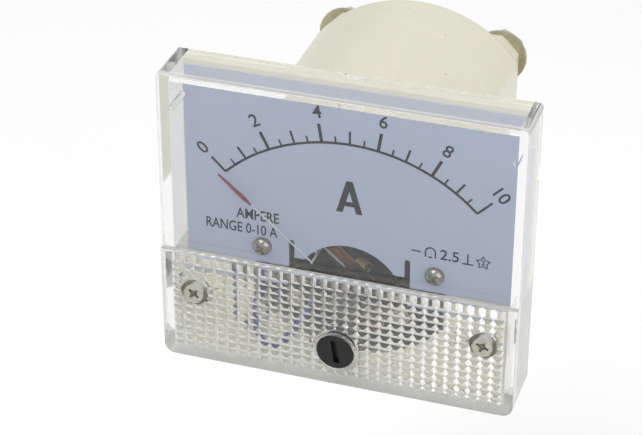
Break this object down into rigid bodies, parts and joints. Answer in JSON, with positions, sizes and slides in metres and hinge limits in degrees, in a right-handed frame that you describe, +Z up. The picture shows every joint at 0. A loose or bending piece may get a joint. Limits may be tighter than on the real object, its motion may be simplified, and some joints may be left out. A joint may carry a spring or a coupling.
{
  "type": "analog panel meter",
  "caption": "square analog panel meter with a clear two-step cover, blue-grey dial, red-tipped pointer, zero adjuster, round rear barrel and two rear terminals",
  "frame": {"origin": "centre of the front flange on the panel plane, where the barrel's axis crosses it", "axes": "+Z is up as mounted, the dial faces -Y, +X is to the right seen from the front, and the barrel runs along +Y"},
  "size_m": [0.064, 0.0592, 0.056],
  "materials": {
    "clear_cover": "clear moulded plastic, polished",
    "cream_plastic": "cream moulded plastic, slight gloss",
    "dial_paint": "pale blue-grey satin paint",
    "dial_ink": "printed dark grey",
    "nickel_screw": "nickel plated steel",
    "black_plastic": "black moulded plastic",
    "steel": "bright steel",
    "brass": "turned brass",
    "spring_bronze": "bronze strip",
    "aluminium": "drawn aluminium",
    "red_paint": "red paint",
    "copper_winding": "varnished copper wire",
    "iron": "dark soft iron",
    "magnet_black": "cast magnet alloy",
    "manganin": "resistance alloy strip",
    "blue_insulation": "blue insulation",
    "red_insulation": "red insulation",
    "plated_brass": "nickel plated brass"
  },
  "bodies": {
    "housing": {"front_cover": "clear_cover", "rear_case": "cream_plastic", "dial_plate": "dial_paint", "scale_marks": "dial_ink", "dial_screws": "nickel_screw", "cover_screws": "nickel_screw", "rear_hairspring": "spring_bronze", "front_bridge": "brass", "rear_bridge": "brass", "front_jewel_screw": "brass", "rear_jewel_screw": "brass", "jewel_lock_nuts": "brass", "bridge_posts": "brass", "bridge_screws": "nickel_screw", "iron_core": "iron", "core_screw": "brass", "core_bracket": "brass", "left_pole_piece": "iron", "right_pole_piece": "iron", "magnet": "magnet_black", "movement_screws": "nickel_screw", "pointer_stops": "steel", "shunt_strip": "manganin", "terminal_tags": "brass", "blue_lead": "blue_insulation", "red_lead": "red_insulation", "terminal_bolts": "plated_brass", "terminal_washers": "plated_brass", "terminal_spring_washers": "steel", "terminal_nuts": "plated_brass", "mounting_studs": "steel", "stud_washers": "steel", "stud_nuts": "steel"},
    "adjuster": {"zero_adjuster": "black_plastic", "adjuster_clip": "steel"},
    "lever": {"zero_lever": "brass", "front_hairspring": "spring_bronze"},
    "moving_system": {"pointer": "aluminium", "pointer_tip": "red_paint", "balance_weights": "steel", "moving_coil": "copper_winding", "coil_former": "aluminium", "pivot_hubs": "steel"}
  },
  "joints": [
    {"name": "zero_adjuster_turn", "type": "hinge", "parent": "housing", "child": "adjuster", "pos_m": [0, -0.0095, -0.0212], "axis": [0, -1, 0], "range_deg": [-35, 35]},
    {"name": "zero_lever_turn", "type": "hinge", "parent": "housing", "child": "lever", "pos_m": [0, -0.001, -0.0132], "axis": [0, -1, 0], "range_deg": [-4.7, 4.7]},
    {"name": "pointer_turn", "type": "hinge", "parent": "lever", "child": "moving_system", "pos_m": [0, 0.001, -0.0132], "axis": [0, 1, 0], "range_deg": [-1.5, 98], "stiffness_Nm_per_rad": 0.00002}
  ],
  "couplings": [
    {"joint": "zero_lever_turn", "follows": "zero_adjuster_turn", "ratio": -0.133}
  ]
}
